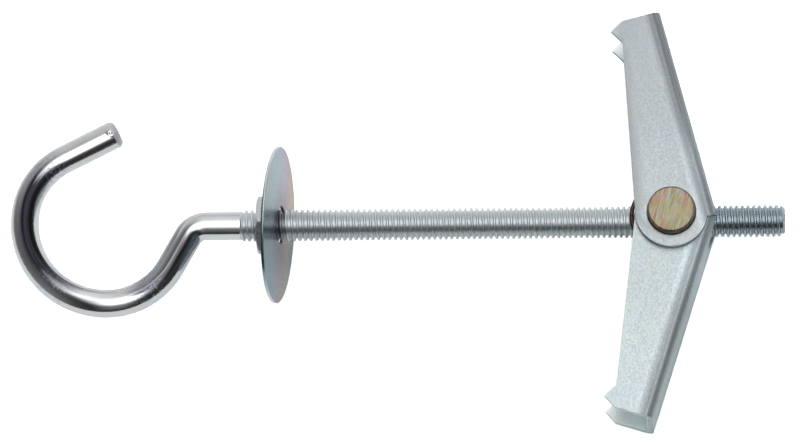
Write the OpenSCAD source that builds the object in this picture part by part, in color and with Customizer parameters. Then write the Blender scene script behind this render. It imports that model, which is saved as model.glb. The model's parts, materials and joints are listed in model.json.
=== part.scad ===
// Spring toggle bolt: open hook screw, lock nut, cover washer and two sprung wings on a barrel nut.
// Design frame: X along the rod towards its free end, Z along the wings' pivot, origin where they cross.
// at_rest() then lays every piece as the whole lies on a floor, with the origin on the rod at the ceiling.

/* [Hook screw] */
// Length of the threaded rod
thread_len = 67.6; // [58:0.1:86]
// Outer diameter of the thread
thread_d = 3.95; // [3.4:0.05:4.2]
// Diameter of the plain wire
wire_d = 3.5; // [3:0.1:3.7]
// Length of the rod beyond the wings' pivot
rod_reach = 14; // [8:0.1:20]
// Bevel at the rod's free end
rod_bevel = 0.5; // [0.2:0.1:0.8]
// Length over which the thread fades into the wire
thread_fade = 0.3; // [0.1:0.1:0.6]

/* [Hook] */
// Plain wire between the thread and the neck's bend
neck_run = 4.35; // [3:0.05:8]
// Centre-line radius of the neck's bend
neck_r = 2.5; // [2.4:0.1:4]
// Angle of the neck's bend
neck_angle = 62; // [55:1:68]
// Straight wire between the neck and the bowl
throat_run = 4.4; // [3:0.1:7]
// Centre-line radius of the bowl next to the neck
heel_r = 8.95; // [8:0.05:12]
// Angle of the bowl next to the neck
heel_angle = 69.3; // [60:0.5:75]
// Centre-line radius at the bowl's middle
crown_r = 10.75; // [10:0.05:14]
// Angle of the bowl's middle
crown_angle = 92; // [80:1:100]
// Centre-line radius of the bowl next to the tip
toe_r = 8.85; // [8:0.05:12]
// Angle of the bowl next to the tip
toe_angle = 53.3; // [45:0.5:60]
// Straight wire at the tip
tip_run = 7.55; // [4:0.05:9]
// Rounding of the tip's end
tip_round = 0.8; // [0.2:0.1:0.8]

/* [Lock nut] */
// Width across the nut's flats
nut_af = 6.8; // [6.5:0.1:8]
// Thickness of the nut
nut_t = 2.1; // [1.8:0.1:3.2]
// Distance from the thread's start to the nut
nut_setback = 2.1; // [0.5:0.1:5]
// Turn of the nut about the rod
nut_turn = 9.5; // [0:0.5:30]
// Slope of the nut's bevels
nut_slope = 30; // [20:1:35]

/* [Cover washer] */
// Outer diameter of the washer
washer_d = 19.5; // [16:0.1:24]
// Thickness of the washer's sheet
washer_t = 0.4; // [0.3:0.05:0.8]
// Diameter of the washer's hole
washer_hole_d = 4.6; // [4.5:0.1:5.5]
// Depth of the washer's dish
washer_dish = 0.25; // [0.1:0.05:0.6]
// Lean of the washer's upper edge towards the hook
washer_lean = 6; // [2:0.2:8]
// Lean of the washer's left edge away from the hook
washer_skew = 4; // [0:0.2:5]

/* [Barrel nut] */
// Diameter of the barrel nut
barrel_d = 5.95; // [5.6:0.05:6.2]
// Length of the barrel nut
barrel_len = 10.75; // [10.4:0.05:14]
// Bevel at the barrel nut's ends
barrel_bevel = 0.25; // [0.1:0.05:0.5]

/* [Wings] */
// Outer breadth of one wing's channel
wing_breadth = 8.1; // [8:0.1:9]
// Thickness of the wing's sheet
sheet_t = 0.8; // [0.6:0.05:0.9]
// Distance from the pivot to the web's outer face
web_reach = 5.35; // [5.3:0.05:6.2]
// Outer radius of the channel's bends
bend_r = 1.1; // [1:0.05:1.2]
// Distance from the pivot to the wing's end
wing_len = 25.65; // [23:0.05:34]
// Distance from the wing's end back to the tooth's tip
tooth_back = 1; // [0.5:0.05:1.5]
// Distance from the wing's end back to the tooth's foot
tooth_foot_back = 2.7; // [2.2:0.1:3.5]
// Height of the tooth's tip over the pivot's level
tooth_tip_rise = 1.22; // [0.8:0.01:1.6]
// Height of the tooth's foot over the pivot's level
tooth_foot_rise = 0.2; // [0:0.05:0.5]
// Depth of the end edge's corner under the pivot's level
end_corner_drop = 0.45; // [0.2:0.05:1]
// Length of the outer wall beyond the web's end
wall_tail = 0.45; // [0.2:0.05:0.8]
// Width of the web's notch for the rod
notch_w = 4.5; // [4.4:0.1:5]
// Reach of the notch from the pivot
notch_reach = 1.9; // [1.6:0.1:4]
// Sweep of each wing towards the hook at its open stop
open_sweep = 15.8; // [12:0.2:20]
// Rock of both wings about the pivot, left one less swept
rock = 1.3; // [0:0.1:2]
// Drop of both wings along the barrel nut
wings_drop = 0.15; // [0:0.05:0.2]

/* [Wing spring] */
// Diameter of the spring's wire
spring_wire_d = 0.55; // [0.4:0.05:0.6]
// Centre-line radius of the spring's turn
spring_r = 4.2; // [4.1:0.05:4.25]
// Shift of the spring's turn from the pivot towards the hook
spring_shift = 0.75; // [0.4:0.05:0.8]
// Distance from the pivot to the end of each spring leg
spring_leg = 12.5; // [9:0.5:20]

/* [Rest] */
// Roll about the rod at which the part balances
lie_roll = 1.4; // [0:0.1:3]

/* [Clearances] */
// Radial play of the thread in the nuts
thread_play = 0.05; // [0.03:0.01:0.08]
// Radial play of the barrel nut in the ears
ear_play = 0.1; // [0.05:0.01:0.1]
// Gap between sheets that pass each other
sheet_gap = 0.1; // [0.06:0.01:0.2]
// Gap between pieces that rest on each other
seat_gap = 0.05; // [0.03:0.01:0.08]

/* [Hidden] */
$fn = 64;

wire_r = wire_d / 2;
joint_swell = 0.005;
joint_r = wire_r + joint_swell;
thread_r = thread_d / 2;
bore_r = thread_r + thread_play;
barrel_r = barrel_d / 2;
cut = 1;

thread_start = rod_reach - thread_len;
nut_back = thread_start + nut_setback;
nut_front = nut_back + nut_t;
nut_face_r = nut_af / 2 - seat_gap;
nut_corner_r = nut_af / 2 / cos(30);

// The washer leans against the edge of the nut's face, and its hole hangs on the rod.
washer_r = washer_d / 2;
washer_hole_r = washer_hole_d / 2;
washer_tilt = acos(cos(washer_lean) * cos(washer_skew));
washer_seat = nut_face_r * tan(washer_tilt) + (washer_t / 2 + seat_gap) / cos(washer_tilt);
washer_x = nut_front + washer_seat;
washer_z = washer_hole_r * cos(washer_tilt) - washer_t * sin(washer_tilt) - thread_r - seat_gap;

// The part lies on the rim of the washer and on the lower end of the barrel nut.
ceiling_x = washer_x + washer_t / 2;
first_lean = 5;
washer_at = [washer_x, 0, washer_z];
washer_axis = [
  cos(washer_lean) * cos(washer_skew),
  -cos(washer_lean) * sin(washer_skew),
  sin(washer_lean)
];

function unit(v) = v / norm(v);
function up_of(lean) = [-sin(lean), cos(lean) * sin(lie_roll), cos(lean) * cos(lie_roll)];
function disc_low(at, axis, r, up) = at - r * unit(up - (up * axis) * axis);
function washer_low(up) =
  disc_low(washer_at - (washer_dish + washer_t / 2) * washer_axis, washer_axis, washer_r, up);
function barrel_low(up) =
  disc_low([0, 0, -barrel_len / 2], [0, 0, 1], barrel_r - barrel_bevel, up);
function rolled_z(p) = p.y * sin(lie_roll) + p.z * cos(lie_roll);
function lean_over(a, b) = atan2(rolled_z(b) - rolled_z(a), b.x - a.x);
function next_lean(lean) = lean_over(washer_low(up_of(lean)), barrel_low(up_of(lean)));

lie_lean = next_lean(next_lean(next_lean(first_lean)));

// The two wings are one pressing. Each is set off sideways by half a sheet and half a gap.
stagger = (sheet_t + sheet_gap) / 2;
wall_in = wing_breadth / 2 - sheet_t;
web_in = web_reach - sheet_t;
ear_r = web_in - sheet_gap;
ear_hole_r = barrel_r + ear_play;
web_end = web_in * tan(open_sweep) - seat_gap;
left_sweep = open_sweep - rock;
right_sweep = open_sweep + rock;
tooth_foot = [wing_len - tooth_foot_back, tooth_foot_rise];
ear_tangent = atan2(tooth_foot.y, tooth_foot.x) + acos(ear_r / norm(tooth_foot));

// The spring's turn passes in front of the rod on the hook side and behind it on the way in.
slot_z = (thread_r + wall_in - stagger - wings_drop) / 2;
spring_wire_r = spring_wire_d / 2;
spring_at = [-spring_shift, 0];
leg_depth = web_in - spring_wire_r - seat_gap;
cross_from = 50;
cross_to = 130;
ring_sides = 10;
turn_steps = 72;

// Point of a wing's plane in the design frame: out along the web, and up towards its open side.
function wing_point(out, up, sweep) =
  [-out * sin(sweep) - up * cos(sweep), out * cos(sweep) - up * sin(sweep)];

left_tip = wing_point(spring_leg, -leg_depth, left_sweep);
right_tip_mirrored = wing_point(spring_leg, -leg_depth, right_sweep);
right_tip = [right_tip_mirrored.x, -right_tip_mirrored.y];

// Angle on the turn where a leg from the tip leaves it, on the side that the rod's end is.
function leg_angle(tip, side) =
  let (d = tip - spring_at)
  atan2(d.y, d.x) - side * acos(spring_r / norm(d));

turn_start = leg_angle(left_tip, 1);
turn_end = leg_angle(right_tip, -1) - 360;

function smooth(t) = t * t * (3 - 2 * t);
function crossing(a) = smooth(min(max((-a - cross_from) / (cross_to - cross_from), 0), 1));
function turn_angle(i) = turn_start + (turn_end - turn_start) * i / turn_steps;
function turn_point(a) =
  [spring_at.x + spring_r * cos(a), spring_at.y + spring_r * sin(a), slot_z * (2 * crossing(a) - 1)];

spring_path = concat(
  [[left_tip.x, left_tip.y, -slot_z]],
  [for (i = [0 : turn_steps]) turn_point(turn_angle(i))],
  [[right_tip.x, right_tip.y, slot_z]]
);

function direction(path, i) =
  unit(path[min(i + 1, len(path) - 1)] - path[max(i - 1, 0)]);
function ring(path, i, r) =
  let (along = direction(path, i))
  let (side = unit(cross(along, [0, 0, 1])))
  let (up = cross(side, along))
  [for (k = [0 : ring_sides - 1]) path[i] + r * (cos(k * 360 / ring_sides) * side + sin(k * 360 / ring_sides) * up)];

// Lays a piece of the design frame as the whole part lies on a floor.
module at_rest() {
  rotate([lie_roll, lie_lean, 0])
    translate([-ceiling_x, 0, 0])
      children();
}

// A round wire along a path of points.
module sweep(path, r) {
  n = len(path);
  points = [for (i = [0 : n - 1]) each ring(path, i, r)];
  walls = [for (i = [0 : n - 2], k = [0 : ring_sides - 1])
    [i * ring_sides + k, i * ring_sides + (k + 1) % ring_sides,
     (i + 1) * ring_sides + (k + 1) % ring_sides, (i + 1) * ring_sides + k]];
  first = [for (k = [ring_sides - 1 : -1 : 0]) k];
  last = [for (k = [0 : ring_sides - 1]) (n - 1) * ring_sides + k];
  polyhedron(points = points, faces = concat([first], walls, [last]));
}

// A run of straight wire along +X. Children go on at its far end, over a ball that closes the joint.
module straight(run) {
  rotate([0, 90, 0])
    cylinder(h = run, r = wire_r);
  translate([run, 0, 0]) {
    sphere(r = joint_r);
    children();
  }
}

// A bend of wire that turns left. Children go on at its far end, over a ball that closes the joint.
module bend_left(radius, angle) {
  translate([0, radius, 0]) {
    rotate([0, 0, -90])
      rotate_extrude(angle = angle)
        translate([radius, 0])
          circle(r = wire_r);
    rotate([0, 0, angle])
      translate([0, -radius, 0]) {
        sphere(r = joint_r);
        children();
      }
  }
}

// The same bend to the right.
module bend_right(radius, angle) {
  rotate([180, 0, 0])
    bend_left(radius, angle)
      rotate([180, 0, 0])
        children();
}

// The hook's last straight, with its rounded end.
module tip() {
  rotate([0, 90, 0])
    rotate_extrude() {
      square([wire_r, tip_run - tip_round]);
      square([wire_r - tip_round, tip_run]);
      translate([wire_r - tip_round, tip_run - tip_round])
        circle(r = tip_round);
    }
}

module hook() {
  rotate([0, 0, 180])
    straight(neck_run)
      bend_left(neck_r, neck_angle)
        straight(throat_run)
          bend_right(heel_r, heel_angle)
            bend_right(crown_r, crown_angle)
              bend_right(toe_r, toe_angle)
                tip();
}

module rod() {
  rotate([0, 90, 0]) {
    cylinder(h = thread_fade, r1 = wire_r, r2 = thread_r);
    translate([0, 0, thread_fade])
      cylinder(h = thread_len - thread_fade - rod_bevel, r = thread_r);
    translate([0, 0, thread_len - rod_bevel])
      cylinder(h = rod_bevel, r1 = thread_r, r2 = thread_r - rod_bevel);
  }
}

module hook_screw() {
  color("silver")
    at_rest()
      translate([thread_start, 0, 0]) {
        hook();
        rod();
      }
}

// Solid of revolution that gives the nut its bevels.
module nut_bevels() {
  drop = (nut_corner_r - nut_face_r) * tan(nut_slope);
  rotate_extrude()
    polygon([
      [0, 0],
      [nut_face_r, 0],
      [nut_corner_r, drop],
      [nut_corner_r, nut_t - drop],
      [nut_face_r, nut_t],
      [0, nut_t]
    ]);
}

module lock_nut() {
  color("lightsteelblue")
    at_rest()
      translate([nut_back, 0, 0])
        rotate([nut_turn, 0, 0])
          rotate([0, 90, 0])
            difference() {
              intersection() {
                cylinder(h = nut_t, r = nut_corner_r, $fn = 6);
                nut_bevels();
              }
              translate([0, 0, -cut])
                cylinder(h = nut_t + 2 * cut, r = bore_r);
            }
}

// The washer's own frame: its axis along X, the middle of its hole's edge at the origin.
module washer_plate() {
  rotate([0, 90, 0])
    rotate_extrude()
      polygon([
        [washer_hole_r, -washer_t / 2],
        [washer_r, -washer_t / 2 - washer_dish],
        [washer_r, washer_t / 2 - washer_dish],
        [washer_hole_r, washer_t / 2]
      ]);
}

module cover_washer() {
  color("lightgray")
    at_rest()
      translate(washer_at)
        rotate([0, -washer_lean, -washer_skew])
          washer_plate();
}

module barrel_nut() {
  half = barrel_len / 2;
  face_r = barrel_r - barrel_bevel;
  color("goldenrod")
    at_rest()
      difference() {
        rotate_extrude()
          polygon([
            [0, -half],
            [face_r, -half],
            [barrel_r, barrel_bevel - half],
            [barrel_r, half - barrel_bevel],
            [face_r, half],
            [0, half]
          ]);
        rotate([0, 90, 0])
          cylinder(h = barrel_d + 2 * cut, r = bore_r, center = true);
      }
}

// Section of a wing's channel, seen along it: open towards +X, square to the web.
module channel_outline(reach, breadth, radius) {
  side = breadth / 2 - radius;
  translate([radius - reach, -breadth / 2])
    square([2 * reach, breadth]);
  translate([-reach, -side])
    square([radius, 2 * side]);
  for (edge = [-1, 1])
    translate([radius - reach, edge * side])
      circle(r = radius);
}

module wing_channel() {
  translate([-ear_r, 0, 0])
    rotate([90, 0, 90])
      linear_extrude(height = ear_r + wing_len)
        difference() {
          channel_outline(web_reach, wing_breadth, bend_r);
          channel_outline(web_in, 2 * wall_in, bend_r - sheet_t);
        }
}

// Side view of a wing: ear, tapered wall and toothed end.
module wing_side() {
  linear_extrude(height = wing_breadth, center = true) {
    circle(r = ear_r);
    polygon([
      [-web_end - wall_tail, -web_reach],
      [wing_len, -web_reach],
      [wing_len, -end_corner_drop],
      [wing_len - tooth_back, tooth_tip_rise],
      tooth_foot,
      ear_r * [cos(ear_tangent), sin(ear_tangent)],
      [0, 0],
      [-web_end - wall_tail, -ear_r * cos(asin((web_end + wall_tail) / ear_r))]
    ]);
  }
}

// Only the outer wall keeps its tail: the web and the inner wall end where the other wing's begin.
module tail_cut() {
  difference() {
    translate([-web_end - ear_r, -web_reach - cut, -wing_breadth / 2 - cut])
      cube([ear_r, web_reach + cut, wing_breadth / 2 + cut + wall_in]);
    cylinder(h = wing_breadth + 4 * cut, r = ear_r, center = true);
  }
}

// Round-ended notch in the web, in line with the rod.
module rod_notch() {
  notch_r = notch_w / 2;
  translate([0, -web_reach - cut, -stagger]) {
    translate([-ear_r, 0, -notch_r])
      cube([ear_r + notch_reach - notch_r, web_reach - web_in + 2 * cut, notch_w]);
    translate([notch_reach - notch_r, 0, 0])
      rotate([-90, 0, 0])
        cylinder(h = web_reach - web_in + 2 * cut, r = notch_r);
  }
}

// One wing: pivot at the origin, web along X on the -Y side.
module wing() {
  difference() {
    intersection() {
      wing_channel();
      wing_side();
    }
    tail_cut();
    rod_notch();
    cylinder(h = wing_breadth + 2 * cut, r = ear_hole_r, center = true);
  }
}

module placed_wing(sweep_angle) {
  translate([0, 0, stagger])
    rotate([0, 0, 90 + sweep_angle])
      wing();
}

module left_wing() {
  color("slategray")
    at_rest()
      translate([0, 0, -wings_drop])
        placed_wing(left_sweep);
}

module right_wing() {
  color("cadetblue")
    at_rest()
      translate([0, 0, -wings_drop])
        rotate([180, 0, 0])
          placed_wing(right_sweep);
}

module wing_spring() {
  color("saddlebrown")
    at_rest()
      sweep(spring_path, spring_wire_r);
}

hook_screw();
lock_nut();
cover_washer();
barrel_nut();
left_wing();
right_wing();
wing_spring();
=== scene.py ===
"""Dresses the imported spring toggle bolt: hook screw, pressed wings, washer, nuts and spring."""
import json
import math

import bmesh
import bpy
import numpy as np
from mathutils import Matrix, Vector


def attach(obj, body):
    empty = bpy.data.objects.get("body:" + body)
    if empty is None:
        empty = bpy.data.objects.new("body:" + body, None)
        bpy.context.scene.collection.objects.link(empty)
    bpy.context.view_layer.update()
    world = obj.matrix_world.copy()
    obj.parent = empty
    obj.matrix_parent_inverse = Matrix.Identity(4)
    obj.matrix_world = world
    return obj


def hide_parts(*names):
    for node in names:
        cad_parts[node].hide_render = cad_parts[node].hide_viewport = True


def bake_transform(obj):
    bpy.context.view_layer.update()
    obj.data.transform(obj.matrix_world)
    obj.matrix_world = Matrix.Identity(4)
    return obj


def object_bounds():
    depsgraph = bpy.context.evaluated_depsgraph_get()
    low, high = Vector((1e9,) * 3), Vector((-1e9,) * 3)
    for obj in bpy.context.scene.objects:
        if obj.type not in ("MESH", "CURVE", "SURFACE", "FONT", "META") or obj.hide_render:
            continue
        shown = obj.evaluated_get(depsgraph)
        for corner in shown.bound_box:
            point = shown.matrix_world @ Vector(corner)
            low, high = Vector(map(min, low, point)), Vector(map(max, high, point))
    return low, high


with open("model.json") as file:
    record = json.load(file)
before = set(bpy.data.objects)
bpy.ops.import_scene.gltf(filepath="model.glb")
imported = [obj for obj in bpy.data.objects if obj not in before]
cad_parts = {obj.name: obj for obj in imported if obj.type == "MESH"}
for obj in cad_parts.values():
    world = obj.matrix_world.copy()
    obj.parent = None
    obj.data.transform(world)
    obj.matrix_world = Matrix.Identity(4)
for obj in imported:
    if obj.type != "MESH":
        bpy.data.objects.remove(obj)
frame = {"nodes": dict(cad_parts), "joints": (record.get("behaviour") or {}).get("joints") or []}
CAD_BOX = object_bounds()
MM = 0.001

# The part's design frame, in millimetres: X along the rod towards its free end, Z along the wings'
# pivot, origin where they cross.
JOINTS = {j["name"]: j for j in frame["joints"]}
ROD = Vector(JOINTS["washer_travel"]["axis"])
PIN = Vector(JOINTS["left_wing_fold"]["axis"])
PIVOT = Vector(JOINTS["left_wing_fold"]["pos_m"])
SIDE = PIN.cross(ROD)
AXES = Matrix((ROD, SIDE, PIN)).transposed().to_4x4()
DESIGN = Matrix.Translation(PIVOT) @ AXES @ Matrix.Scale(MM, 4)
TO_DESIGN = DESIGN.inverted()

# Sizes in millimetres and degrees, as the CAD has them.
# Hook screw: its radii and pitch, then X of the thread's start and of the rod's end.
WIRE_R = 1.75
CREST_R = 1.975
PITCH = 0.7
THREAD_START = -53.6
ROD_END = 14.0
ROD_BEVEL = 0.5
# The hook from the thread's start to its tip. A bend is (radius, degrees).
NECK_RUN = 4.35
NECK_BEND = (2.5, 62.0)
THROAT_RUN = 4.4
BOWL_BENDS = ((8.95, -69.3), (10.75, -92.0), (8.85, -53.3))
TIP_RUN = 7.55
TIP_ROUND = 0.8
HOOK_LENGTH = 55.32
# Wings, from the pivot: inner faces of wall and web, depth where the outer bend starts, and the
# ear's radius. Then how the two wings sit on the barrel nut.
WALL_IN = 3.25
WEB_IN = 4.55
BEND_FROM = -4.25
EAR_R = 4.45
STAGGER = 0.45
WINGS_DROP = 0.15
LEFT_SWEEP = 14.5
RIGHT_SWEEP = 17.1
# Wing spring: radii, centre of its turn, and how far off the rod's axis the turn passes the rod.
# Then, from the left leg to the right one: the legs' ends, the angles where the turn starts and
# ends, and the angles between which it goes over from one side of the rod to the other.
SPRING_WIRE_R = 0.275
SPRING_R = 4.2
SPRING_AT = (-0.75, 0.0)
SPRING_SLOT = 2.3125
SPRING_TIPS = ((0.961, 13.160), (0.363, -13.190))
SPRING_ANGLES = (11.044, -373.678)
SPRING_CROSSING = (-50.0, -130.0)
# Cover washer and barrel nut.
WASHER_R = 9.75
HOLE_R = 2.3
WASHER_MIDDLE = (0, 0, 0.21)
BARREL_R = 2.975

# The rolled thread, which the CAD leaves out: the root's radius, the profile in shares of half a
# pitch, and the stretch over which the ridges rise out of the wire at the hook's end.
ROOT_R = 1.62
CREST_SHARE = 0.28
FLANK_SHARE = 0.52
FLANK_EASE = 0.06
RISE_START = 0.05
RISE_RUN = 0.6

# The pip near the hook's tip: place as (length along the wire, radians round it), the stretch of
# wire that is made finer for it, and its ring and its pit as (height, radius, breadth).
PIP_AT = (54.32, 1.676)
PIP_REACH = 1.8
PIP_STEP = 0.08
PIP_RING = (0.055, 0.32, 0.13)
PIP_PIT = (-0.05, 0.0, 0.20)

# How near an open edge lies to an end of the thread, and how far the hook's first ring steps back
# from the thread's, so that the faces that bridge the two rings have some breadth.
ON_PLANE = 0.01
BRIDGE_GAP = 0.02

# How finely the new meshes are made.
WIRE_SIDES = 96
WIRE_STEP = 0.3
TIP_RINGS = 8
TIP_DISC_RINGS = (0.6, 0.25)
THREAD_SIDES = 40
THREAD_ROWS = 10
SPRING_SIDES = 12
SPRING_TURN_STEPS = 150
SPRING_LEG_STEPS = 26

# How the CAD's edges are rounded: widths in millimetres, angles in degrees, welds in metres.
WING_EDGE = 0.09
WASHER_EDGE = 0.08
NUT_EDGE = 0.07
EDGE_SEGMENTS = 3
SHARP_ANGLE = 28
FLAT_ANGLE = 1.0
WELD_BEFORE, WELD_AFTER = 2e-6, 1e-6


# ---------------------------------------------------------------- meshes

def clamped(t):
    return min(max(t, 0.0), 1.0)


def linked(name, data):
    """A new object in the scene."""
    obj = bpy.data.objects.new(name, data)
    bpy.context.scene.collection.objects.link(obj)
    return obj


def mesh_object(name, bm):
    """A new object that takes over a bmesh."""
    mesh = bpy.data.meshes.new(name)
    bm.to_mesh(mesh)
    bm.free()
    return linked(name, mesh)


def keep_coords(mesh, coords):
    """Stores a point per vertex, in millimetres, for the material to read."""
    attribute = mesh.attributes.new("piece_co", "FLOAT_VECTOR", "POINT")
    attribute.data.foreach_set("vector", np.asarray(coords, np.float32).ravel())


def dress(obj, node, body=None):
    """Smooths an object that stands for a CAD node, and lets it ride on a body."""
    for polygon in obj.data.polygons:
        polygon.use_smooth = True
    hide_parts(node)
    if body:
        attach(obj, body)
    return obj


def ring_faces(rings, sides):
    """Quads between closed rings of points that follow each other."""
    faces = []
    for i in range(rings - 1):
        for k in range(sides):
            n = (k + 1) % sides
            faces.append((i * sides + k, i * sides + n, (i + 1) * sides + n, (i + 1) * sides + k))
    return faces


def hook_path():
    """Centre line of the hook from the thread's start to the tip, as (x, y, heading) rows."""
    x, y, heading = THREAD_START, 0.0, math.pi
    rows = [(x, y, heading)]

    def straight(run, step=WIRE_STEP):
        nonlocal x, y
        count = max(2, round(run / step))
        for _ in range(count):
            x += math.cos(heading) * run / count
            y += math.sin(heading) * run / count
            rows.append((x, y, heading))

    def bend(radius, degrees):
        nonlocal x, y, heading
        turn = math.radians(degrees)
        arm = math.copysign(1, turn) * radius
        cx, cy = x - arm * math.sin(heading), y + arm * math.cos(heading)
        count = max(4, round(abs(turn) * radius / WIRE_STEP))
        for _ in range(count):
            heading += turn / count
            x, y = cx + arm * math.sin(heading), cy - arm * math.cos(heading)
            rows.append((x, y, heading))

    straight(NECK_RUN)
    bend(*NECK_BEND)
    straight(THROAT_RUN)
    for radius, degrees in BOWL_BENDS:
        bend(radius, degrees)
    straight(TIP_RUN - TIP_ROUND - PIP_REACH)
    straight(PIP_REACH, PIP_STEP)
    return rows


def pip(length, angle):
    """Height of the small pitted pip on the wire near the tip."""
    d = math.hypot(length - PIP_AT[0], WIRE_R * (angle - PIP_AT[1]))
    return sum(
        height * math.exp(-((d - radius) / breadth) ** 2)
        for height, radius, breadth in (PIP_RING, PIP_PIT)
    )


def make_hook():
    """Points, faces and coordinates of the bent wire, closed at its tip with a rounded edge.

    A coordinate is (length from the thread's start, away from the bowl, up along the pivot).
    """
    rows = hook_path()
    radii = [WIRE_R] * len(rows)
    x, y, heading = rows[-1]
    for k in range(1, TIP_RINGS + 1):
        a = math.pi / 2 * k / TIP_RINGS
        rows.append((
            x + math.cos(heading) * TIP_ROUND * math.sin(a),
            y + math.sin(heading) * TIP_ROUND * math.sin(a),
            heading,
        ))
        radii.append(WIRE_R - TIP_ROUND + TIP_ROUND * math.cos(a))
    for share in TIP_DISC_RINGS:
        rows.append(rows[-1])
        radii.append((WIRE_R - TIP_ROUND) * share)

    points, coords = [], []
    length = 0.0
    for i, (x, y, heading) in enumerate(rows):
        if i:
            length += math.hypot(x - rows[i - 1][0], y - rows[i - 1][1])
        side = (-math.sin(heading), math.cos(heading))
        for k in range(WIRE_SIDES):
            a = 2 * math.pi * k / WIRE_SIDES
            r = radii[i] + pip(length, a)
            out, up = r * math.cos(a), r * math.sin(a)
            points.append((x + out * side[0], y + out * side[1], up))
            coords.append((length, out, up))
    faces = ring_faces(len(rows), WIRE_SIDES)

    last_ring, centre = (len(rows) - 1) * WIRE_SIDES, len(points)
    points.append((*rows[-1][:2], 0.0))
    coords.append((length, 0.0, 0.0))
    for k in range(WIRE_SIDES):
        faces.append((last_ring + k, last_ring + (k + 1) % WIRE_SIDES, centre))
    return points, faces, coords


def thread_radius(phase):
    """Radius of the rolled thread at a share of its pitch: flat crest, eased flanks, flat root."""
    flank = clamped((abs(phase - 0.5) * 2 - CREST_SHARE) / FLANK_SHARE)
    eased = flank - FLANK_EASE * math.sin(2 * math.pi * flank)
    return CREST_R - (CREST_R - ROOT_R) * eased


def make_thread():
    """Points and faces of the rod's thread, a helical grid that runs a little past both ends."""
    rows = int((ROD_END - THREAD_START + 3 * PITCH) / PITCH * THREAD_ROWS)
    first = THREAD_START - 1.5 * PITCH
    points = []
    for i in range(rows + 1):
        for j in range(THREAD_SIDES):
            x = first + PITCH * (i / THREAD_ROWS + j / THREAD_SIDES)
            rise = clamped((x - THREAD_START - RISE_START) / RISE_RUN)
            r = WIRE_R + (thread_radius(i / THREAD_ROWS % 1.0) - WIRE_R) * rise * (2 - rise)
            r = min(r, CREST_R - ROD_BEVEL + max(ROD_END - x, 0.0))
            a = 2 * math.pi * j / THREAD_SIDES
            points.append((x, r * math.cos(a), r * math.sin(a)))
    faces = []
    for i in range(rows):
        for j in range(THREAD_SIDES):
            here, ahead = i * THREAD_SIDES + j, (i + 1) * THREAD_SIDES + j
            if j < THREAD_SIDES - 1:
                faces.append((here, ahead, ahead + 1, here + 1))
            elif i + 1 + THREAD_ROWS <= rows:
                next_turn = (i + THREAD_ROWS) * THREAD_SIDES
                faces.append((here, ahead, next_turn + THREAD_SIDES, next_turn))
    return points, faces


def add_faces(bm, points, faces):
    """Adds points and faces to a bmesh and returns the new vertices."""
    made = [bm.verts.new(p) for p in points]
    for face in faces:
        bm.faces.new([made[i] for i in face])
    return made


def make_hook_screw():
    """One mesh: the hook's wire goes over into the threaded rod."""
    bm = bmesh.new()
    layer = bm.verts.layers.float_vector.new("piece_co")

    # The thread is cut off flat at both ends and closed at the rod's end.
    add_faces(bm, *make_thread())
    for x, way in ((THREAD_START, -1), (ROD_END, 1)):
        bmesh.ops.bisect_plane(
            bm, geom=bm.verts[:] + bm.edges[:] + bm.faces[:], dist=1e-5,
            plane_co=(x, 0, 0), plane_no=(way, 0, 0), clear_outer=True,
        )
    for v in bm.verts:
        v[layer] = (-(v.co.x - THREAD_START), v.co.y, v.co.z)
    thread_loop, end_loop = (
        [e for e in bm.edges if e.is_boundary and abs(e.verts[0].co.x - x) < ON_PLANE]
        for x in (THREAD_START, ROD_END)
    )
    bmesh.ops.holes_fill(bm, edges=end_loop, sides=0)

    # The hook's open ring is bridged to the thread's.
    points, faces, coords = make_hook()
    for v, co in zip(add_faces(bm, points, faces), coords):
        v[layer] = co
    known = set(thread_loop)
    hook_loop = [e for e in bm.edges if e.is_boundary and e not in known]
    for v in {v for e in hook_loop for v in e.verts}:
        v.co.x -= BRIDGE_GAP
    bmesh.ops.bridge_loops(bm, edges=thread_loop + hook_loop)
    bmesh.ops.recalc_face_normals(bm, faces=bm.faces[:])
    for v in bm.verts:
        v.co = DESIGN @ v.co
    return dress(mesh_object("hook_screw_plated", bm), "hook_screw", "hook_screw")


def softened(node, name, width, to_piece):
    """A copy of a CAD node with rounded edges, which rides on the body of the node's name."""
    bm = bmesh.new()
    bm.from_mesh(frame["nodes"][node].data)
    bmesh.ops.remove_doubles(bm, verts=bm.verts, dist=WELD_BEFORE)
    bmesh.ops.dissolve_limit(
        bm, angle_limit=math.radians(FLAT_ANGLE), verts=bm.verts, edges=bm.edges,
    )
    sharp = math.radians(SHARP_ANGLE)
    bmesh.ops.bevel(
        bm, geom=[e for e in bm.edges if e.is_manifold and e.calc_face_angle() > sharp],
        offset=width * MM, offset_type="OFFSET", segments=EDGE_SEGMENTS, profile=0.5,
        affect="EDGES", clamp_overlap=True, loop_slide=False,
    )
    bmesh.ops.remove_doubles(bm, verts=bm.verts, dist=WELD_AFTER)
    bmesh.ops.recalc_face_normals(bm, faces=bm.faces[:])
    obj = mesh_object(name, bm)
    keep_coords(obj.data, [to_piece @ v.co for v in obj.data.vertices])
    modifier = obj.modifiers.new("normals", "WEIGHTED_NORMAL")
    modifier.weight = 100
    modifier.keep_sharp = False
    return dress(obj, node, node)


def wing_frame(sweep, turned_over):
    """From row metres to a wing's own millimetres: X along its web, -Y to the web, Z across."""
    flip = Matrix.Rotation(math.pi, 4, "X") if turned_over else Matrix.Identity(4)
    place = (
        Matrix.Translation((0, 0, -WINGS_DROP)) @ flip
        @ Matrix.Translation((0, 0, STAGGER)) @ Matrix.Rotation(math.radians(90 + sweep), 4, "Z")
    )
    return (DESIGN @ place).inverted()


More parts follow.
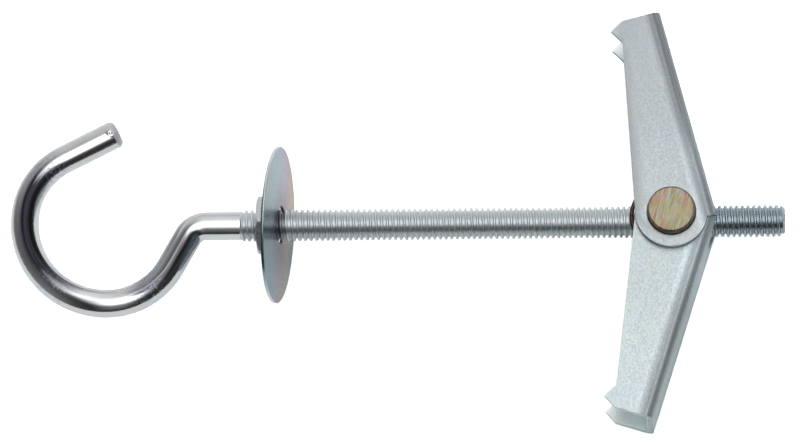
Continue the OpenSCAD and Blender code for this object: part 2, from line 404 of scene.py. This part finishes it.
def spring_path():
    """The spring's centre line, from the left leg to the right one, and its middle row."""
    cross_from, cross_to = SPRING_CROSSING

    def on_turn(angle):
        crossed = clamped((angle - cross_from) / (cross_to - cross_from))
        smooth = crossed * crossed * (3 - 2 * crossed)
        return Vector((
            SPRING_AT[0] + SPRING_R * math.cos(math.radians(angle)),
            SPRING_AT[1] + SPRING_R * math.sin(math.radians(angle)),
            SPRING_SLOT * (2 * smooth - 1),
        ))

    steps, leg_steps = SPRING_TURN_STEPS, SPRING_LEG_STEPS
    begin, end = SPRING_ANGLES
    turn = [on_turn(begin + (end - begin) * i / steps) for i in range(steps + 1)]
    left_tip = Vector((*SPRING_TIPS[0], -SPRING_SLOT))
    right_tip = Vector((*SPRING_TIPS[1], SPRING_SLOT))
    left_leg = [left_tip.lerp(turn[0], i / leg_steps) for i in range(leg_steps)]
    right_leg = [turn[-1].lerp(right_tip, (i + 1) / leg_steps) for i in range(leg_steps)]
    return left_leg + turn + right_leg, leg_steps + steps // 2


def make_spring_half(name, path):
    """One half of the spring. It bends from the barrel nut to its wing, towards +Y or -Y."""
    points, coords = [], []
    length = 0.0
    for i, p in enumerate(path):
        along = (path[min(i + 1, len(path) - 1)] - path[max(i - 1, 0)]).normalized()
        side = along.cross(Vector((0, 0, 1))).normalized()
        up = side.cross(along)
        length += (p - path[i - 1]).length if i else 0.0
        for k in range(SPRING_SIDES):
            a = 2 * math.pi * k / SPRING_SIDES
            points.append(p + SPRING_WIRE_R * (math.cos(a) * side + math.sin(a) * up))
            coords.append((length, SPRING_WIRE_R * math.cos(a), SPRING_WIRE_R * math.sin(a)))
    faces = ring_faces(len(path), SPRING_SIDES)
    faces.append(tuple(range(SPRING_SIDES)))
    faces.append(tuple(range(len(points) - SPRING_SIDES, len(points))))
    bm = bmesh.new()
    layer = bm.verts.layers.float_vector.new("piece_co")
    for v, co in zip(add_faces(bm, [DESIGN @ p for p in points], faces), coords):
        v[layer] = co
    bmesh.ops.recalc_face_normals(bm, faces=bm.faces[:])
    obj = dress(mesh_object(name, bm), "wing_spring")
    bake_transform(obj)
    return obj


hook_screw = make_hook_screw()
left_wing = softened(
    "left_wing", "left_wing_sheet", WING_EDGE, wing_frame(LEFT_SWEEP, False))
right_wing = softened(
    "right_wing", "right_wing_sheet", WING_EDGE, wing_frame(RIGHT_SWEEP, True))
barrel = softened("barrel_nut", "barrel_nut_turned", NUT_EDGE, TO_DESIGN)
washer = softened("cover_washer", "cover_washer_dished", WASHER_EDGE, TO_DESIGN)
nut = softened("lock_nut", "lock_nut_bevelled", NUT_EDGE, TO_DESIGN)
spring, middle = spring_path()
left_spring = make_spring_half("left_spring_leg", spring[:middle + 1])
right_spring = make_spring_half("right_spring_leg", spring[middle:])


# ---------------------------------------------------------------- materials

# Colours are linear. A ramp is a row of (place, colour) stops. A tint multiplies what it covers.
WIRE_RAMP = ((0.3, (0.76, 0.78, 0.80)), (0.7, (0.84, 0.85, 0.86)))
# The crown's ramp is darkest where the overhead highlight falls: painted shade on a burnished top.
CROWN_RAMP = (
    (0.18, (0.13, 0.13, 0.15)), (0.32, (0.012, 0.012, 0.02)),
    (0.58, (0.012, 0.012, 0.02)), (0.75, (0.46, 0.46, 0.49)),
)
THROAT_SHADE_RAMP = (
    (0.11, (0.40, 0.40, 0.40)), (0.19, (0.085, 0.085, 0.09)), (0.31, (0.065, 0.065, 0.07)),
    (0.40, (0.44, 0.45, 0.46)), (0.54, (0.40, 0.41, 0.42)), (0.85, (0.46, 0.48, 0.50)),
)
THROAT_STREAK = (0.26, 0.27, 0.31)
BEND_CHATTER = (0.40, 0.45, 0.66)
THREAD_CREST = (1.0, 1.0, 0.99)
THREAD_ROOT_SHADE = (0.80, 0.88, 0.91)
THREAD_UNDER_SHADE = (0.70, 0.72, 0.73)
HOOK_END = (0.97, 0.97, 1.0)
ROD_END_SHADE = (0.64, 0.69, 0.72)
WASHER_SHADE = (0.20, 0.21, 0.23)

# The wings share one finish in a shaded and a lit copy: painted shade on the left (upper) wing,
# painted light on the right (lower) one.
LEFT_WING_SHADED_TINT = (0.84, 0.87, 0.88)
RIGHT_WING_LIT_TINT = (0.88, 0.95, 0.94)
SHEET_RAMP = ((0.3, (0.72, 0.76, 0.79)), (0.7, (0.77, 0.80, 0.82)))
SHEET_GRAIN = (0.62, 0.66, 0.70)
SHEET_LINES = (0.55, 0.54, 0.60)
SHEET_WARM_TINT = (1.06, 1.0, 0.88)
SHEET_PIVOT_SHADE = (0.93, 0.93, 0.93)
SHEET_BEND_LIGHT = (1.22, 1.25, 1.27)
SHEET_INSIDE_LIGHT = (0.93, 1.0, 1.0)
EAR_RIM_SHADE = (0.28, 0.30, 0.34)

WASHER_RAMP = (
    (0.05, (0.38, 0.48, 0.49)), (0.26, (0.42, 0.51, 0.59)), (0.44, (0.46, 0.45, 0.57)),
    (0.60, (0.51, 0.36, 0.45)), (0.72, (0.55, 0.38, 0.36)), (0.82, (0.50, 0.43, 0.31)),
    (0.95, (0.38, 0.39, 0.40)),
)
WASHER_SIDE_TINT = (0.58, 0.68, 0.72)
WASHER_MIDDLE_SHADE = (0.74, 0.71, 0.70)
WASHER_RIM = (0.86, 0.89, 0.90)
WASHER_HOLE_SHADE = (0.10, 0.11, 0.12)

BARREL_RAMP = (
    (0.34, (0.50, 0.40, 0.33)), (0.44, (0.52, 0.45, 0.32)), (0.53, (0.56, 0.54, 0.28)),
    (0.62, (0.56, 0.56, 0.50)), (0.72, (0.50, 0.44, 0.36)),
)
BARREL_BLUSH = (0.62, 0.28, 0.20)
BARREL_DARK_SCRATCH = (0.20, 0.17, 0.12)
BARREL_PALE_SCRATCH = (0.84, 0.80, 0.60)
BARREL_TINT = (0.74, 0.76, 0.79)
BARREL_SIDE_SHADE = (0.08, 0.055, 0.03)
SCRATCH_SLANT = 16.0

NUT_RAMP = ((0.3, (0.66, 0.69, 0.72)), (0.7, (0.76, 0.78, 0.80)))
SPRING_RAMP = ((0.3, (0.09, 0.06, 0.05)), (0.7, (0.20, 0.15, 0.12)))

# Places along the hook screw, in millimetres from the thread's start; on the rod they are negative.
# A slope is (where a look starts to show, where it shows in full).
CROWN_SLOPES = ((24.5, 31.0), (48.0, 43.0))
CROWN_SLANT = 2.2
THROAT_SLOPES = ((5.5, 8.0), (19.0, 15.5))
RAGGED_BREADTH = 9.0
# Each patch of chatter is (middle, half its length).
CHATTER_PATCHES = ((28.0, 3.0), (45.5, 3.0), (16.0, 3.5))
ROD_END_SLOPE = (-48.5, -58.0)
WASHER_SHADE_AT = -4.8


class Nodes:
    """A node tree, with short calls for the nodes that the looks and the studio's light use."""

    def __init__(self, tree):
        self.tree = tree

    def node(self, kind, inputs, **settings):
        made = self.tree.nodes.new("ShaderNode" + kind)
        for key, value in settings.items():
            setattr(made, key, value)
        for key, value in inputs.items():
            self.feed(made.inputs[key], value)
        return made

    def feed(self, socket, value):
        """Links a socket to an output, or gives it a value."""
        if isinstance(value, bpy.types.NodeSocket):
            self.tree.links.new(value, socket)
        else:
            socket.default_value = value

    def math(self, operation, a, b=0.0):
        return self.node("Math", {0: a, 1: b}, operation=operation).outputs[0]

    def plus(self, a, b):
        return self.math("ADD", a, b)

    def minus(self, a, b):
        return self.math("SUBTRACT", a, b)

    def times(self, a, *others):
        for b in others:
            a = self.math("MULTIPLY", a, b)
        return a

    def size(self, value):
        return self.math("ABSOLUTE", value)

    def wander(self, noise, breadth):
        """A noise round 0, which strays by up to half the breadth either way."""
        return self.times(self.minus(noise, 0.5), breadth)

    def span(self, value, low, high, to_low=0.0, to_high=1.0, smooth=True):
        """Maps low..high onto to_low..to_high, and holds the ends beyond them."""
        kind = "SMOOTHSTEP" if smooth else "LINEAR"
        return self.node("MapRange", {
            "Value": value, "From Min": low, "From Max": high, "To Min": to_low, "To Max": to_high,
        }, interpolation_type=kind).outputs[0]

    def between(self, value, first, last):
        """1 between two slopes, each of them given as (where it is 0, where it is 1)."""
        return self.times(self.span(value, *first), self.span(value, *last))

    def around(self, value, middle, far, near, peak=1.0):
        """The peak within the near distance of the middle, and 0 from the far distance on."""
        return self.span(self.size(self.minus(value, middle)), far, near, 0.0, peak)

    def mix(self, share, a, b, blend="MIX"):
        made = self.node("Mix", {}, data_type="RGBA", blend_type=blend)
        self.feed(made.inputs[0], share)
        for socket, value in ((made.inputs[6], a), (made.inputs[7], b)):
            self.feed(socket, (*value, 1.0) if isinstance(value, tuple) else value)
        return made.outputs[2]

    def tint(self, share, colour, by):
        """Multiplies a colour by another one, by the share."""
        return self.mix(share, colour, self.mix(1.0, colour, by, "MULTIPLY"))


class Look(Nodes):
    """A material of nodes that read a piece's own coordinates."""

    def __init__(self, name, **sockets):
        self.material = bpy.data.materials.new(name)
        self.material.use_nodes = True
        super().__init__(self.material.node_tree)
        self.shader = self.tree.nodes["Principled BSDF"]
        self.set(**sockets)

    def set(self, **sockets):
        """Feeds the shader's sockets. An underscore stands for a space in a socket's name."""
        for socket, value in sockets.items():
            self.feed(self.shader.inputs[socket.replace("_", " ")], value)

    def put(self, *objects):
        for obj in objects:
            obj.data.materials.clear()
            obj.data.materials.append(self.material)

    def coords(self):
        return self.node("Attribute", {}, attribute_name="piece_co").outputs["Vector"]

    def split(self, vector):
        return self.node("SeparateXYZ", {0: vector}).outputs

    def stretched(self, vector, scale):
        return self.node("Mapping", {0: vector, "Scale": scale}).outputs[0]

    def radius(self, vector, across, middle=(0, 0, 0)):
        """Distance from a line through the middle. Across is 1 for the two axes square to it."""
        flat = self.stretched(vector, across)
        return self.node("VectorMath", {0: flat, 1: middle}, operation="DISTANCE").outputs["Value"]

    def noise(self, vector, scale, detail=3.0, rough=0.55, distortion=0.0, turn=0.0):
        """Noise with its own scale for each axis, after a turn round Z in degrees."""
        if turn:
            vector = self.node("VectorRotate", {
                "Vector": vector, "Angle": math.radians(turn),
            }, rotation_type="Z_AXIS").outputs[0]
        return self.node("TexNoise", {
            "Vector": self.stretched(vector, scale), "Scale": 1.0, "Detail": detail,
            "Roughness": rough, "Distortion": distortion,
        }).outputs["Fac"]

    def ramp(self, value, stops):
        made = self.node("ValToRGB", {0: value})
        elements = made.color_ramp.elements
        while len(elements) < len(stops):
            elements.new(0.5)
        for element, (place, colour) in zip(elements, stops):
            element.position = place
            element.color = (*colour, 1.0)
        return made.outputs[0]

    def bump(self, height, depth_mm, normal=None):
        inputs = {"Height": height, "Distance": depth_mm * MM}
        if normal is not None:
            inputs["Normal"] = normal
        return self.node("Bump", inputs).outputs[0]


def zinc_wire():
    """Bright zinc on drawn wire, with fine lines along it.

    The hook's crown is burnished and darkened by painted shade, painted shade dims its throat,
    and its bends have blue chatter marks.
    The thread is brighter, with painted shade in its roots, on its underside
    and towards the rod's end.
    """
    look = Look("bright_zinc", Metallic=1.0)
    co = look.coords()
    along, outward, upward = look.split(co)
    lines = look.noise(co, (0.12, 3.0, 3.0), detail=5.0, rough=0.65)
    streaks = look.noise(co, (0.10, 2.2, 2.2), rough=0.6)
    ragged = look.plus(along, look.wander(streaks, RAGGED_BREADTH))
    colour = look.ramp(look.noise(co, (0.35, 0.6, 0.6), detail=2.0), WIRE_RAMP)

    # The crown's top is burnished, and painted shade darkens it most where the overhead highlight
    # falls. Its ends are ragged, and the first one slants across the wire.
    slanted = look.minus(ragged, look.times(outward, CROWN_SLANT))
    crown = look.times(look.span(slanted, *CROWN_SLOPES[0]), look.span(ragged, *CROWN_SLOPES[1]))
    top = look.times(
        look.between(outward, (-1.3, -0.95), (1.5, 1.0)), look.span(upward, 0.45, 1.15))
    burnish_and_shade = look.times(crown, top, look.span(streaks, 0.30, 0.62, 1.0, 0.975))
    worn_and_shaded = look.ramp(look.span(outward, -1.0, 1.0, smooth=False), CROWN_RAMP)
    colour = look.mix(burnish_and_shade, colour, worn_and_shaded)

    # Painted shade dims the throat where it faces up, in bands along the wire, with streaks.
    throat = look.between(ragged, *THROAT_SLOPES)
    facing = look.times(look.span(outward, 0.90, 0.65), look.span(upward, 0.2, 0.8))
    throat_shade = look.ramp(look.span(outward, 1.0, -1.8, smooth=False), THROAT_SHADE_RAMP)
    throat_shade = look.mix(look.span(streaks, 0.40, 0.60, 0.0, 0.30), throat_shade, THROAT_STREAK)
    colour = look.mix(look.times(throat, facing), colour, throat_shade)

    # Chatter marks where the wire was bent.
    bent = 0.0
    for place, reach in CHATTER_PATCHES:
        bent = look.math("MAXIMUM", look.around(along, place, reach, 1.0), bent)
    chatter = look.noise(co, (2.4, 4.2, 4.2), rough=0.7, distortion=0.4)
    marks = look.times(bent, look.span(chatter, 0.50, 0.66))
    colour = look.mix(look.times(marks, 0.6), colour, BEND_CHATTER)

    # The thread: bright crests, with painted shade in the roots and on the underside.
    threaded = look.span(along, -0.05, 0.05, 1.0, 0.0)
    root = look.span(look.radius(co, (0, 1, 1)), CREST_R - 0.05, ROOT_R + 0.03)
    colour = look.mix(threaded, colour, THREAD_CREST)
    colour = look.mix(look.times(root, threaded), colour, THREAD_ROOT_SHADE)
    under = look.times(look.span(outward, -0.4, -1.6), threaded)
    colour = look.tint(under, colour, THREAD_UNDER_SHADE)

    # The hook's cut end, painted shade on the rod's end, and painted shade in the washer's hole.
    hook_end = look.span(along, HOOK_LENGTH - 0.95, HOOK_LENGTH - 0.65)
    colour = look.mix(hook_end, colour, HOOK_END)
    rod_end_shade = look.span(along, *ROD_END_SLOPE)
    colour = look.tint(rod_end_shade, colour, ROD_END_SHADE)
    colour = look.mix(look.around(along, WASHER_SHADE_AT, 0.95, 0.5, 0.75), colour, WASHER_SHADE)

    rough = look.span(lines, 0.3, 0.75, 0.11, 0.19)
    rolled = look.minus(threaded, look.times(rod_end_shade, 0.45))
    for share, more in ((rolled, 0.20), (hook_end, 0.60), (marks, 0.25), (burnish_and_shade, 0.14)):
        rough = look.plus(rough, look.times(share, more))
    look.set(Base_Color=colour, Roughness=rough, Normal=look.bump(lines, 0.006))
    return look


def wing_sheet(name, tint):
    """Satin zinc on pressed sheet: a fine mottled grain, with drawn-out lines along the bends."""
    look = Look(name, Metallic=1.0)
    co = look.coords()
    reach, depth, across = look.split(co)
    grain = look.noise(co, (4.0, 4.0, 4.0), detail=4.0, rough=0.75)
    lines = look.noise(co, (0.04, 2.2, 2.2), detail=2.0, rough=0.7)
    warmth = look.noise(co, (0.5, 0.7, 0.7), rough=0.7)
    bend = look.span(depth, BEND_FROM + 1.3, BEND_FROM)

    colour = look.ramp(look.noise(co, (0.10, 0.25, 0.25)), SHEET_RAMP)
    colour = look.mix(look.span(grain, 0.38, 0.62, 0.0, 0.60), colour, SHEET_GRAIN)
    drawn = look.times(bend, look.span(lines, 0.42, 0.60), 0.6)
    colour = look.mix(drawn, colour, SHEET_LINES)
    colour = look.tint(look.span(warmth, 0.40, 0.62, 0.0, 0.35), colour, SHEET_WARM_TINT)
    # Painted shade: the sheet darkens towards the pivot.
    colour = look.tint(look.span(reach, 22.0, 3.0), colour, SHEET_PIVOT_SHADE)
    # The wing's tint: painted shade on the left wing, painted light on the right one.
    colour = look.mix(1.0, colour, tint, "MULTIPLY")
    # Painted light lifts the start of the bend near the pivot.
    pivot_bend_light = look.times(
        look.span(reach, 13.0, 5.0), look.span(depth, BEND_FROM + 1.6, BEND_FROM + 0.9))
    colour = look.tint(pivot_bend_light, colour, SHEET_BEND_LIGHT)
    # Painted light: the inner faces of wall and web are paler, in place of light bounced within the
    # channel.
    inside_light = look.times(
        look.span(look.size(across), WALL_IN + 0.12, WALL_IN + 0.02),
        look.span(depth, -WEB_IN - 0.12, -WEB_IN - 0.02))
    colour = look.mix(inside_light, colour, SHEET_INSIDE_LIGHT)
    # Painted shade on the ear's edge next to the pivot.
    near_pivot = look.times(
        look.span(reach, 1.5, 1.0), look.span(depth, BEND_FROM, BEND_FROM + 0.3))
    ear_rim_shade = look.span(look.radius(co, (1, 1, 0)), EAR_R - 0.05, EAR_R + 0.02)
    colour = look.mix(look.times(ear_rim_shade, near_pivot), colour, EAR_RIM_SHADE)

    rough = look.plus(look.span(grain, 0.3, 0.7, 0.34, 0.48), look.times(bend, 0.17))
    fall = look.span(depth, BEND_FROM + 1.5, BEND_FROM, smooth=False)
    normal = look.bump(grain, 0.010)
    normal = look.bump(look.times(fall, fall), -0.16, normal)
    normal = look.bump(look.times(lines, bend), 0.025, normal)
    look.set(Base_Color=colour, Roughness=rough, Normal=normal)
    return look


def washer_plate():
    """Passivated zinc with a faint rainbow that runs in bands over the disc."""
    look = Look("passivated_zinc_disc", Metallic=1.0)
    co = look.coords()
    _, across, upward = look.split(co)
    drift = look.wander(look.noise(co, (0.1, 0.14, 0.22), detail=2.0), 7.0)
    fine = look.noise(co, (2.4, 2.4, 2.4), rough=0.6)
    radius = look.radius(co, (0, 1, 1), WASHER_MIDDLE)

    rainbow = look.span(look.plus(upward, drift), 9.0, -9.0, smooth=False)
    colour = look.ramp(rainbow, WASHER_RAMP)
    near_side = look.span(look.plus(across, drift), 3.0, -4.5)
    colour = look.tint(near_side, colour, WASHER_SIDE_TINT)
    # Painted shade darkens the disc towards its hole, round the rod.
    colour = look.tint(look.span(radius, 7.0, 2.5), colour, WASHER_MIDDLE_SHADE)
    colour = look.mix(look.span(radius, WASHER_R - 0.12, WASHER_R - 0.04), colour, WASHER_RIM)
    # Painted shade: a dark ring at the hole's edge.
    colour = look.mix(look.span(radius, HOLE_R + 0.22, HOLE_R + 0.12), colour, WASHER_HOLE_SHADE)
    rough = look.span(fine, 0.3, 0.7, 0.22, 0.28)
    look.set(Base_Color=colour, Roughness=rough, Normal=look.bump(fine, 0.0015))
    return look


def barrel_plate():
    """Yellow passivated end faces with slanting scratches and a rosy blush, and painted shade round
    the side.
    """
    look = Look("yellow_passivated_barrel", Metallic=1.0)
    co = look.coords()
    scratches = look.noise(co, (4.6, 0.30, 0.5), detail=4.0, rough=0.75, turn=SCRATCH_SLANT)
    blush = look.noise(co, (3.0, 0.30, 0.5), detail=2.0, rough=0.6, turn=SCRATCH_SLANT)
    patches = look.noise(co, (0.55, 0.40, 0.6), rough=0.6, distortion=0.4)
    radius = look.radius(co, (1, 1, 0))

    colour = look.ramp(patches, BARREL_RAMP)
    rosy = look.span(look.plus(radius, look.wander(patches, 4.0)), 1.2, 2.4, 0.15, 0.75)
    colour = look.mix(look.times(look.span(blush, 0.46, 0.60), rosy), colour, BARREL_BLUSH)
    colour = look.mix(look.span(scratches, 0.50, 0.38, 0.0, 0.75), colour, BARREL_DARK_SCRATCH)
    colour = look.mix(look.span(scratches, 0.56, 0.66, 0.0, 0.60), colour, BARREL_PALE_SCRATCH)
    colour = look.mix(1.0, colour, BARREL_TINT, "MULTIPLY")
    # Painted shade round the barrel's side.
    colour = look.mix(look.span(radius, BARREL_R - 0.05, BARREL_R - 0.02), colour, BARREL_SIDE_SHADE)
    rough = look.span(scratches, 0.3, 0.7, 0.30, 0.45)
    look.set(Base_Color=colour, Roughness=rough, Normal=look.bump(scratches, 0.02))
    return look


def plain_metal(name, metallic, scale, grit, ramp, rough, relief_mm):
    """A metal with one noise for its colour, its roughness and a slight relief."""
    look = Look(name, Metallic=metallic)
    noise = look.noise(look.coords(), scale, detail=4.0, rough=grit)
    look.set(
        Base_Color=look.ramp(noise, ramp), Roughness=look.span(noise, 0.3, 0.7, *rough),
        Normal=look.bump(noise, relief_mm),
    )
    return look


zinc_wire().put(hook_screw)
wing_sheet("satin_zinc_left", LEFT_WING_SHADED_TINT).put(left_wing)
wing_sheet("satin_zinc_right", RIGHT_WING_LIT_TINT).put(right_wing)
washer_plate().put(washer)
plain_metal(
    "zinc_nut", metallic=1.0, scale=(2.0, 2.0, 2.0), grit=0.6, ramp=NUT_RAMP,
    rough=(0.24, 0.36), relief_mm=0.006,
).put(nut)
barrel_plate().put(barrel)
plain_metal(
    "dark_spring_wire", metallic=0.9, scale=(0.2, 4.0, 4.0), grit=0.55, ramp=SPRING_RAMP,
    rough=(0.28, 0.42), relief_mm=0.008,
).put(left_spring, right_spring)


# ---------------------------------------------------------------- studio

# The camera's angles are in degrees, its distance and shift in pixels of an image 800 wide.
VIEW_TILT, VIEW_TURN, VIEW_ROLL = 17.43, 3.3, 0.56
VIEW_PIXELS_PER_MM = 8.07
VIEW_DISTANCE = 5500.0
VIEW_SHIFT = (271.8, 1.3)
VIEW_WIDTH = 800
VIEW_CLIP = (0.05, 20.0)
SENSOR = 36.0

FLOOR_HALF = 3.0
FLOOR_LIT = (0.80, 0.80, 0.80)
FLOOR_MIRRORED = (1.55, 1.6, 1.6)
FLOOR_SEEN = (4.0, 4.0, 4.0)

# Directions seen from the photograph's camera, and how brightly each part of the studio shines.
STUDIO_RIGHT = (0.990, 0.009, -0.137)
STUDIO_AHEAD = (0.035, 0.947, 0.320)
STUDIO_ABOVE = (0.133, -0.322, 0.937)
STUDIO_WALL = (-0.25, 0.92, 0.30)
BOX_LIGHT = 2.25
WALL_LIGHT = 0.55
SKIRT_LIGHT = 0.2
SIDE_LIGHT = 0.18
FILL_LIGHT = 0.03


def make_camera():
    """The photograph's camera: far off, tilted over the part, turned a little to the rod's end."""
    turn = (
        Matrix.Rotation(math.radians(VIEW_ROLL), 3, "Z")
        @ Matrix.Rotation(math.radians(-VIEW_TURN), 3, "Y")
        @ Matrix.Rotation(math.radians(-VIEW_TILT), 3, "X")
    )
    back = turn.inverted()
    data = bpy.data.cameras.new("camera")
    data.lens = VIEW_DISTANCE / VIEW_WIDTH * SENSOR
    data.sensor_width = SENSOR
    data.clip_start, data.clip_end = VIEW_CLIP
    camera = linked("camera", data)
    place = back @ Vector((-VIEW_SHIFT[0], -VIEW_SHIFT[1], VIEW_DISTANCE)) / VIEW_PIXELS_PER_MM
    aim = DESIGN.to_3x3().normalized() @ back
    camera.matrix_world = Matrix.Translation(DESIGN @ place) @ aim.to_4x4()
    bpy.context.scene.camera = camera


def make_floor():
    """A plain floor under the part. The camera sees it white, and the metal mirrors it pale."""
    corners = [(-1, -1), (1, -1), (1, 1), (-1, 1)]
    mesh = bpy.data.meshes.new("floor")
    mesh.from_pydata(
        [(x * FLOOR_HALF, y * FLOOR_HALF, CAD_BOX[0].z) for x, y in corners], [], [(0, 1, 2, 3)])
    floor = linked("floor", mesh)
    look = Look("pale_floor", Roughness=1.0, Specular_IOR_Level=0.0)
    path = look.node("LightPath", {}).outputs
    colour = look.mix(path["Is Glossy Ray"], FLOOR_LIT, FLOOR_MIRRORED)
    look.set(Base_Color=look.mix(path["Is Camera Ray"], colour, FLOOR_SEEN))
    look.put(floor)


def make_world():
    """A soft box light overhead with a weak skirt in front, a grey wall behind and a dim left side.

    The near and right sides are dark. Where the camera itself looks, the world is white.
    """
    world = bpy.data.worlds.new("studio")
    bpy.context.scene.world = world
    world.use_nodes = True
    sky = Nodes(world.node_tree)
    ray = sky.node("TexCoord", {}).outputs["Generated"]
    ray = sky.node("VectorMath", {0: ray}, operation="NORMALIZE").outputs["Vector"]

    def towards(way):
        return sky.node("VectorMath", {0: ray, 1: way}, operation="DOT_PRODUCT").outputs["Value"]

    right, ahead, above = towards(STUDIO_RIGHT), towards(STUDIO_AHEAD), towards(STUDIO_ABOVE)
    strip = sky.times(
        sky.between(right, (-0.34, -0.06), (0.36, 0.10)), sky.span(above, 0.0, 0.2))
    skirt = sky.times(strip, sky.span(ahead, -0.95, -0.40))
    box = sky.times(strip, sky.span(ahead, -0.42, 0.08), sky.span(ahead, 0.98, 0.36))
    wall = sky.span(towards(STUDIO_WALL), 0.55, 0.98)
    left = sky.span(right, -0.35, -0.95)
    level = sky.times(box, BOX_LIGHT)
    for part, light in ((wall, WALL_LIGHT), (skirt, SKIRT_LIGHT), (left, SIDE_LIGHT)):
        level = sky.plus(level, sky.times(part, light))
    level = sky.plus(level, FILL_LIGHT)
    seen = sky.node("LightPath", {}).outputs["Is Camera Ray"]
    strength = sky.plus(sky.times(level, sky.minus(1.0, seen)), seen)
    background = sky.tree.nodes["Background"]
    sky.feed(background.inputs["Strength"], strength)
    sky.feed(background.inputs["Color"], (1, 1, 1, 1))


make_camera()
make_floor()
make_world()
bpy.context.scene.view_settings.view_transform = "Standard"
